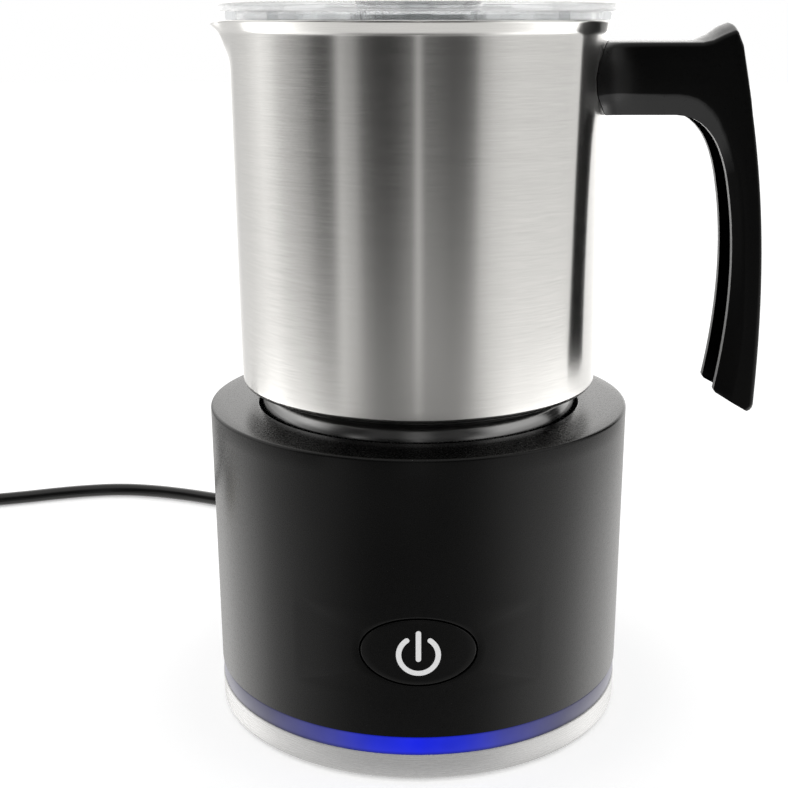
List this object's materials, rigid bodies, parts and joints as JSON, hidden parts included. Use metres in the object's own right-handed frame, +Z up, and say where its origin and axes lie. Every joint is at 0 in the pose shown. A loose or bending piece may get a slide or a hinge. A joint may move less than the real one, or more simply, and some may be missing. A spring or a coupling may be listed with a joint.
{
  "type": "milk frother",
  "caption": "Milk frother: a steel jug with a clear lid, black handle and magnetic whisk, standing in a round black base with a glowing ring, an oval button and a mains lead.",
  "frame": {"origin": "on the jug's axis at the plane of the table that the rubber foot stands on", "axes": "+Z up, +X towards the handle, -X towards the spout, -Y towards the button at the front"},
  "size_m": [0.3692, 0.2873, 0.2042],
  "materials": {
    "satin_black": "fine textured satin black moulding",
    "inner_black": "plain black moulding",
    "gloss_black": "polished black moulding",
    "handle_black": "soft matt black moulding with a fine grain",
    "jug_steel": "stainless steel brushed round the jug",
    "plain_steel": "stainless steel, satin",
    "spring_wire": "bright stainless spring wire",
    "aluminium_cap": "plain aluminium",
    "trim_silver": "satin silver ring",
    "glow_blue": "translucent light guide, lit blue",
    "symbol_white": "opaque white light guide",
    "led_white": "small light-emitting diodes",
    "foot_rubber": "soft black rubber",
    "lead_rubber": "black flexible mains lead",
    "blade_brass": "plated brass",
    "clear_lid": "clear hard plastic",
    "seal_silicone": "translucent silicone",
    "whisk_black": "black food-safe plastic",
    "screw_zinc": "zinc-plated steel",
    "motor_steel": "drawn steel can",
    "magnet_nickel": "nickel-plated magnet",
    "former_cream": "heat-resistant cream plastic",
    "coil_copper": "lacquered copper wire",
    "ferrite_grey": "sintered ferrite",
    "board_green": "green solder mask",
    "capacitor_blue": "sleeved capacitor"
  },
  "bodies": {
    "base": {"base_housing": "satin_black", "well_dish": "satin_black", "dish_screws": "screw_zinc", "glow_ring": "glow_blue", "trim_ring": "trim_silver", "bottom_cover": "inner_black", "cover_screws": "screw_zinc", "rubber_foot": "foot_rubber", "led_board": "board_green", "ring_leds": "led_white", "coil_former": "former_cream", "induction_coil": "coil_copper", "ferrite_bars": "ferrite_grey", "motor_bracket": "screw_zinc", "bracket_screws": "screw_zinc", "drive_motor": "motor_steel", "motor_screws": "screw_zinc", "control_board": "board_green", "board_screws": "screw_zinc", "heat_sink": "aluminium_cap", "filter_capacitor": "capacitor_blue", "filter_choke": "coil_copper", "terminal_block": "board_green", "switch_board": "board_green", "tact_switch": "inner_black", "strain_relief": "lead_rubber", "cord": "lead_rubber", "cord_tail": "lead_rubber", "cord_coil": "lead_rubber", "plug_body": "lead_rubber", "plug_blades": "blade_brass"},
    "rotor": {"motor_shaft": "motor_steel", "magnet_carrier": "inner_black", "drive_magnets": "magnet_nickel"},
    "sensor": {"sensor_cap": "aluminium_cap", "sensor_spring": "spring_wire"},
    "button": {"button_cap": "satin_black", "power_symbol": "symbol_white", "switch_plunger": "former_cream"},
    "jug": {"jug_shell": "jug_steel", "jug_foot": "gloss_black", "whisk_post": "plain_steel", "handle_bracket": "plain_steel", "handle_shell": "handle_black", "handle_screws": "screw_zinc"},
    "whisk": {"whisk_hub": "whisk_black", "whisk_magnets": "magnet_nickel", "whisk_coil": "spring_wire"},
    "lid": {"lid_cover": "clear_lid", "lid_seal": "seal_silicone"}
  },
  "joints": [
    {"name": "jug_lift", "type": "slide", "parent": "base", "child": "jug", "axis": [0, 0, 1], "range_m": [0, 0.08]},
    {"name": "lid_lift", "type": "slide", "parent": "jug", "child": "lid", "axis": [0, 0, 1], "range_m": [0, 0.04]},
    {"name": "rotor_spin", "type": "hinge", "parent": "base", "child": "rotor", "pos_m": [0, 0, 0.08], "axis": [0, 0, 1], "continuous": true},
    {"name": "whisk_spin", "type": "hinge", "parent": "jug", "child": "whisk", "pos_m": [0, 0, 0.093], "axis": [0, 0, 1], "continuous": true},
    {"name": "button_press", "type": "slide", "parent": "base", "child": "button", "axis": [0, 1, 0], "range_m": [0, 0.001], "stiffness_N_per_m": 800},
    {"name": "sensor_press", "type": "slide", "parent": "base", "child": "sensor", "axis": [0, 0, -1], "range_m": [0, 0.001], "stiffness_N_per_m": 400, "deforming": ["sensor_spring"]}
  ],
  "couplings": [
    {"joint": "whisk_spin", "follows": "rotor_spin", "ratio": 1}
  ]
}
